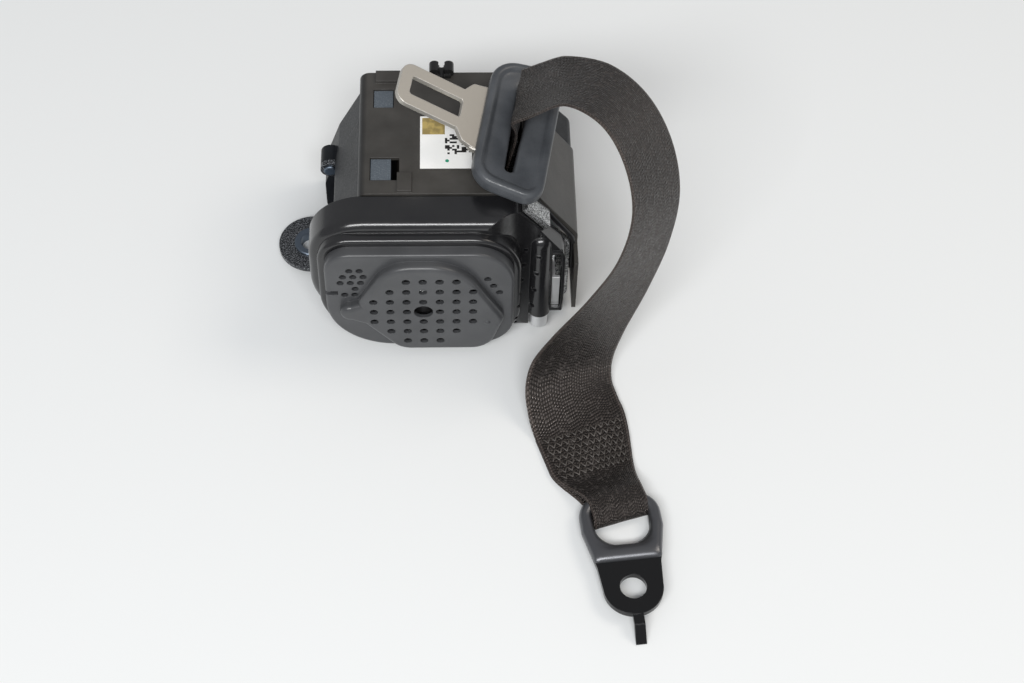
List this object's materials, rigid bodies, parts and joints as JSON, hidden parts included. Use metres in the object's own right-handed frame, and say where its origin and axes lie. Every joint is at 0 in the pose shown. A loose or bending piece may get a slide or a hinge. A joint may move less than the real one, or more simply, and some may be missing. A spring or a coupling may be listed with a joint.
{
  "type": "seat belt",
  "caption": "Front seat belt with inertia reel, pretensioner, twisted webbing loop, tongue and anchor plate, lying on its back.",
  "frame": {"origin": "centre of the mounting hole in the reel frame's ear, level with the frame's back face", "axes": "+Z along the mounting hole, away from the car body; the spool turns about Y, with the spring and pretensioner side at -Y; +X runs from the ear across the reel"},
  "size_m": [0.1975, 0.2766, 0.1436],
  "materials": {
    "coated_steel": "satin black e-coat",
    "plated_steel": "bright plating",
    "nickel_steel": "satin nickel",
    "gloss_cover": "satin gloss",
    "matte_housing": "fine texture",
    "black_plastic": "fine texture",
    "grip_plastic": "satin",
    "webbing": "woven polyester",
    "die_cast": "cast",
    "spring_steel": "blued",
    "label_film": "paper film"
  },
  "bodies": {
    "retractor": {"frame": "coated_steel", "frame_near_wall": "coated_steel", "frame_far_wall": "coated_steel", "frame_bush": "plated_steel", "tie_rods": "plated_steel", "pawl_pin": "plated_steel", "sensor_housing": "black_plastic", "lever_pin": "plated_steel", "lock_cover": "black_plastic", "shroud": "matte_housing", "roof_clips": "black_plastic", "webbing_guide": "matte_housing", "label": "label_film", "cable_clip": "black_plastic", "pretensioner_base": "die_cast", "pan_cover": "gloss_cover", "spring_cover": "gloss_cover", "spring_case": "black_plastic", "return_spring": "spring_steel", "gas_tube": "plated_steel", "gas_generator": "die_cast", "tube_bracket": "plated_steel", "webbing_sewn_end": "webbing", "webbing_loop": "webbing", "webbing_run": "webbing", "base_rivets": "plated_steel", "cover_screws": "plated_steel"},
    "spool": {"spool": "die_cast", "webbing_coil": "webbing", "torsion_bar": "plated_steel", "ratchet_wheel": "plated_steel", "control_disc": "black_plastic", "pinion_shaft": "plated_steel", "spring_arbor": "black_plastic"},
    "lock_pawl": {"lock_pawl": "plated_steel"},
    "sensor_ball": {"sensor_ball": "plated_steel"},
    "sensor_lever": {"sensor_lever": "black_plastic"},
    "tongue": {"tongue_plate": "nickel_steel", "tongue_overmould": "grip_plastic"},
    "anchor": {"anchor_plate": "coated_steel"}
  },
  "joints": [
    {"name": "spool_turn", "type": "hinge", "parent": "retractor", "child": "spool", "pos_m": [0.058, 0, 0.037], "axis": [0, 1, 0], "continuous": true},
    {"name": "pawl_swing", "type": "hinge", "parent": "retractor", "child": "lock_pawl", "pos_m": [0.09, 0, 0.014], "axis": [0, -1, 0], "range_deg": [0, 13]},
    {"name": "ball_roll", "type": "hinge", "parent": "retractor", "child": "sensor_ball", "pos_m": [0.0257, 0.036, 0.03], "axis": [0, 1, 0], "range_deg": [0, 30]},
    {"name": "lever_lift", "type": "hinge", "parent": "retractor", "child": "sensor_lever", "pos_m": [0.0288, 0.036, 0.0226], "axis": [0, 1, 0], "range_deg": [0, 3.6]},
    {"name": "tongue_slide", "type": "slide", "parent": "retractor", "child": "tongue", "axis": [0.2143, 0, 0.9768], "range_m": [0, 0.01]},
    {"name": "anchor_swing", "type": "hinge", "parent": "retractor", "child": "anchor", "pos_m": [0.1493, -0.15825, 0.0046], "axis": [-0.9945, -0.1045, 0], "range_deg": [0, 70]}
  ],
  "couplings": [
    {"joint": "lever_lift", "follows": "ball_roll", "ratio": 0.12}
  ]
}
